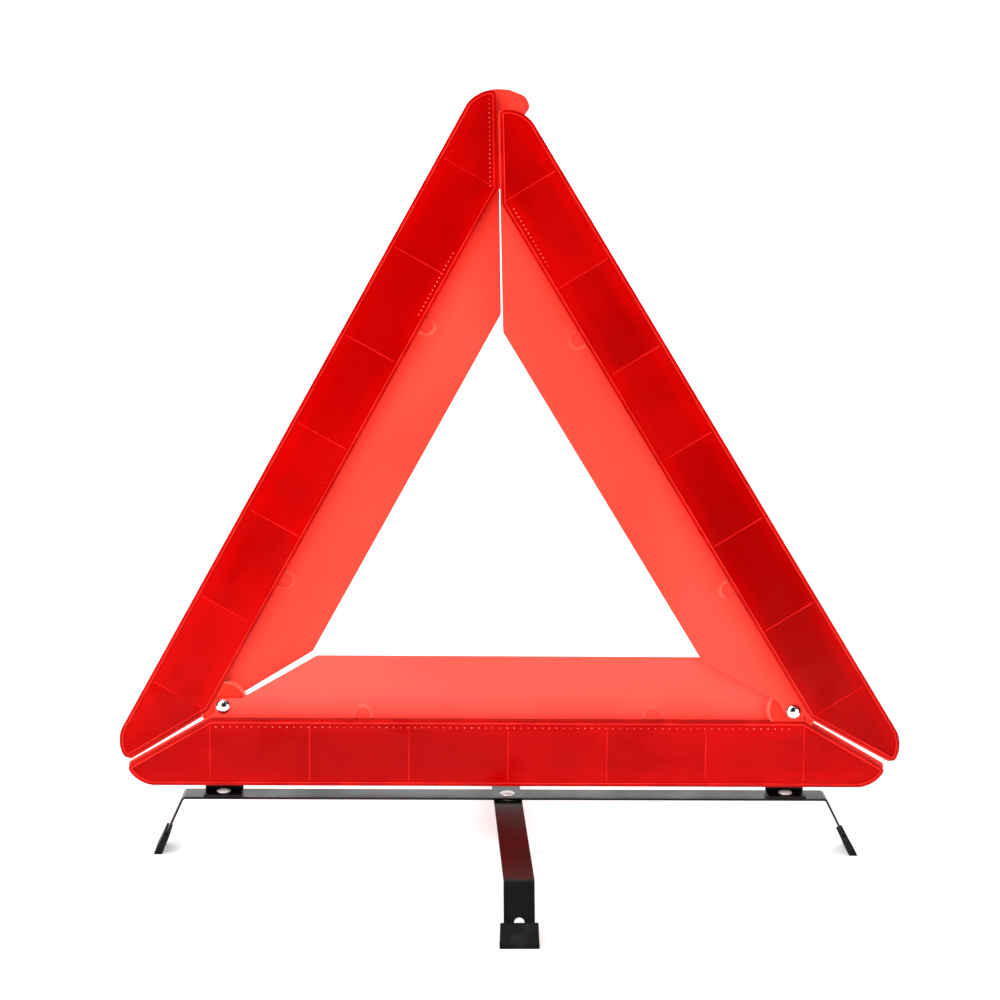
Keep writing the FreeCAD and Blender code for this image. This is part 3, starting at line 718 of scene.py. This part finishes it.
def add_rivet(node, place, metal, *sizes):
    piece = dome_rivet(f"{node}_set", metal, *sizes)
    put(piece, place)
    stands_for(piece, "base", "bright_rivet", node)


def upright(node, drop):
    """The place of a standing rivet whose head rises this far above its seat."""
    low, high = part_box(node)
    return Matrix.Translation(((low.x + high.x) / 2, (low.y + high.y) / 2, high.z - drop))


LEFT_CORNER = SIGN @ Matrix.Translation((-HALF, 0, 0))
RIGHT_CORNER = SIGN @ Matrix.Translation((HALF, 0, LAYER_PITCH + LAYER_GAP))
add_rivet("left_pivot_rivet", LEFT_CORNER, steel, *PIVOT_HEAD, PIVOT_STACK, *PIVOT_CLINCH)
add_rivet("right_pivot_rivet", RIGHT_CORNER, steel, *PIVOT_HEAD, PIVOT_STACK, *PIVOT_CLINCH)
crossing = upright("leg_pivot_rivet", LEG_HEAD[1])
add_rivet("leg_pivot_rivet", crossing, satin, *LEG_HEAD, LEG_STACK, *LEG_CLINCH)
for side_name in ("left", "right"):
    seat = upright(f"{side_name}_bracket_rivet", BRACKET_HEAD[1])
    add_rivet(f"{side_name}_bracket_rivet", seat, satin, *BRACKET_HEAD, BRACKET_STACK, *BRACKET_CLINCH)
    washer = eased_copy(f"{side_name}_pivot_washer", f"{side_name}_washer_ring", 0.12 * MM)
    paint(washer, steel)
    stands_for(washer, "base", "bright_rivet", f"{side_name}_pivot_washer")
    pair = eased_copy(f"{side_name}_panel_rivets", f"{side_name}_back_rivets", 0.15 * MM, 3)
    paint(pair, steel)
    stands_for(pair, "base", "bright_rivet", f"{side_name}_panel_rivets")
for material_slot in NODES["leg_pivot_washer"].material_slots:
    material_slot.material = washer_nylon

# ------------------------------------------------------------------ stand

for node_name, body_name in (
    ("stand_bar", "base"), ("cross_leg", "cross_leg_set"),
    ("left_bracket", "base"), ("right_bracket", "base"),
):
    strip = eased_copy(node_name, f"{node_name}_painted", 0.16 * MM)
    paint(strip, enamel)
    stands_for(strip, body_name, "black_paint", node_name)


def boot(name):
    """A boot in its leg's frame: z up the leg, x outwards, the strip's middle on the z axis."""
    size = (BOOT_DEPTH, BOOT_WIDTH, BOOT_LENGTH + BOOT_SPARE)
    piece = block(name, size, (0, 0, (BOOT_LENGTH - BOOT_SPARE) / 2))
    edit(piece)
    pick_faces(piece, lambda middle, normal: normal.z > UPWARD)
    bpy.ops.transform.resize(value=(0.80, 0.94, 1.0), center_override=(0, 0, BOOT_LENGTH))
    bpy.ops.mesh.inset(thickness=0.55 * MM)
    bpy.ops.mesh.inset(thickness=0.25 * MM, depth=-0.8 * MM)
    done()
    return piece


def finish_boot(piece):
    """Cut the sole flat on the ground, raise a welt above it and ease the edges."""
    trim(piece, (0, 0, 0), (0, 0, -1))
    edit(piece)
    top = WELT_LEVEL + WELT
    for level in (WELT_LEVEL, top):
        bpy.ops.mesh.select_all(action="SELECT")
        bpy.ops.mesh.bisect(plane_co=(0, 0, level), plane_no=(0, 0, 1))
    pick_faces(piece, lambda middle, normal: WELT_LEVEL < middle.z < top and abs(normal.z) < 0.7)
    bpy.ops.mesh.extrude_region_shrink_fatten(TRANSFORM_OT_shrink_fatten={"value": -0.18 * MM})
    done()
    soften(piece, 0.22 * MM, 3)
    smooth(piece)
    paint(piece, rubber)


for node_name, body_name, turn, angle in (
    ("right_foot", "base", 0.0, WIDE_LEG),
    ("left_foot", "base", math.pi, STEEP_LEG),
    ("rear_foot", "cross_leg_set", math.pi / 2 + LEG_TURN, STEEP_LEG),
    ("front_foot", "cross_leg_set", -math.pi / 2 + LEG_TURN, STEEP_LEG),
):
    away = Matrix.Rotation(-turn, 4, "Z")
    landing = max((away @ vertex.co).x for vertex in NODES[node_name].data.vertices) - SOLE
    out = Vector((math.sin(angle), 0, math.cos(angle)))
    up = Vector((-math.cos(angle), 0, math.sin(angle)))
    foot_frame = Matrix((out, Vector((0, 1, 0)), up)).transposed().to_4x4()
    foot_frame.translation = Vector((landing, 0, 0)) - out * (STRIP / 2)
    shoe = boot(f"{node_name}_boot")
    put(shoe, Matrix.Rotation(turn, 4, "Z") @ foot_frame)
    finish_boot(shoe)
    stands_for(shoe, body_name, "rubber", node_name)

# ------------------------------------------------------------------ floor, light and camera


def studio_white():
    """Pale floor that glows more towards the back, as painted light that keeps only the softest shadows
    and lifts the shade where floor meets wall.
    """
    finish = Finish("studio_white")
    grain = finish.cloud(30.0, 2.0)
    base = finish.mix(grain, colour(0.90, 0.90, 0.90), colour(0.93, 0.93, 0.93))
    finish.set(Base_Color=base, Roughness=0.9, Specular_IOR_Level=0.1, Emission_Color=colour(1, 1, 1))
    # painted light: the glow rises from front to back to lift the shade near the wall
    distance = finish.add("ShaderNodeSeparateXYZ", Vector=finish.place).outputs["Y"]
    finish.set(Emission_Strength=finish.ramp_between(distance, 0.5, 2.8, 0.20, 0.80))
    return finish.material


def sheet(name, place):
    """A white sheet, one metre square before its place stretches it."""
    piece = primitive(bpy.ops.mesh.primitive_plane_add, size=1.0)
    piece.name = name
    put(piece, place)
    paint(piece, white)
    return piece


SHEET_WIDTH = 9.0
FLOOR_DEPTH = 6.4
FLOOR_MIDDLE = 1.2
WALL_HEIGHT = 3.2
white = studio_white()
floor_size = Matrix.Diagonal((SHEET_WIDTH, FLOOR_DEPTH, 1.0, 1.0))
floor = sheet("studio_floor", Matrix.Translation((0, FLOOR_MIDDLE, 0)) @ floor_size)
stand_up = Matrix.Translation((0, 4.4, WALL_HEIGHT / 2)) @ Matrix.Rotation(math.radians(90), 4, "X")
wall = sheet("studio_wall", stand_up @ Matrix.Diagonal((SHEET_WIDTH, WALL_HEIGHT, 1.0, 1.0)))


def softbox(name, place, width, height, power):
    """A rectangular light aimed at the lower part of the sign; power in watts."""
    lamp = bpy.data.lights.new(name, "AREA")
    lamp.shape = "RECTANGLE"
    lamp.size = width
    lamp.size_y = height
    lamp.energy = power
    holder = bpy.data.objects.new(name, lamp)
    bpy.context.scene.collection.objects.link(holder)
    holder.location = place
    holder.rotation_euler = (LIGHTS_AIM - Vector(place)).to_track_quat("-Z", "Y").to_euler()


LIGHTS_AIM = Vector((0, 0, 0.2))
softbox("key_softbox", (-1.5, -1.5, 0.95), 1.7, 1.8, 25)
softbox("high_softbox", (-0.75, -1.15, 1.85), 1.6, 1.0, 15)
softbox("side_softbox", (0.85, -1.2, 1.55), 1.3, 1.0, 1.2)
softbox("fill_softbox", (1.45, -1.5, 0.38), 1.3, 0.7, 12)
softbox("top_softbox", (0, 0.5, 2.2), 2.0, 1.6, 26)

SOFT_LIGHT = 0.60
world = bpy.data.worlds.new("studio_air")
world.use_nodes = True
air = world.node_tree
soft_light = air.nodes["Background"]
soft_light.inputs["Color"].default_value = colour(1, 1, 1)
soft_light.inputs["Strength"].default_value = SOFT_LIGHT
backdrop = air.nodes.new("ShaderNodeBackground")
backdrop.inputs["Color"].default_value = colour(1, 1, 1)
seen = air.nodes.new("ShaderNodeMixShader")
air.links.new(air.nodes.new("ShaderNodeLightPath").outputs["Is Camera Ray"], seen.inputs[0])
air.links.new(soft_light.outputs[0], seen.inputs[1])
air.links.new(backdrop.outputs[0], seen.inputs[2])
air.links.new(seen.outputs[0], air.nodes["World Output"].inputs["Surface"])
bpy.context.scene.world = world
world.cycles_visibility.glossy = False
bpy.context.scene.view_settings.view_transform = "Standard"

SENSOR_WIDTH = 36.0
FOCAL_LENGTH = 84.69
CAMERA_PLACE = (-0.0448, -1.2761, 0.4579)
HEADING, PITCH, ROLL = -1.727, 78.707, 0.723  # degrees
lens = bpy.data.cameras.new("camera")
lens.sensor_width = SENSOR_WIDTH
lens.lens = FOCAL_LENGTH
camera = bpy.data.objects.new("camera", lens)
bpy.context.scene.collection.objects.link(camera)
heading = Matrix.Rotation(math.radians(HEADING), 4, "Z")
pitch = Matrix.Rotation(math.radians(PITCH), 4, "X")
roll = Matrix.Rotation(math.radians(ROLL), 4, "Z")
camera.matrix_world = Matrix.Translation(CAMERA_PLACE) @ heading @ pitch @ roll
bpy.context.scene.camera = camera
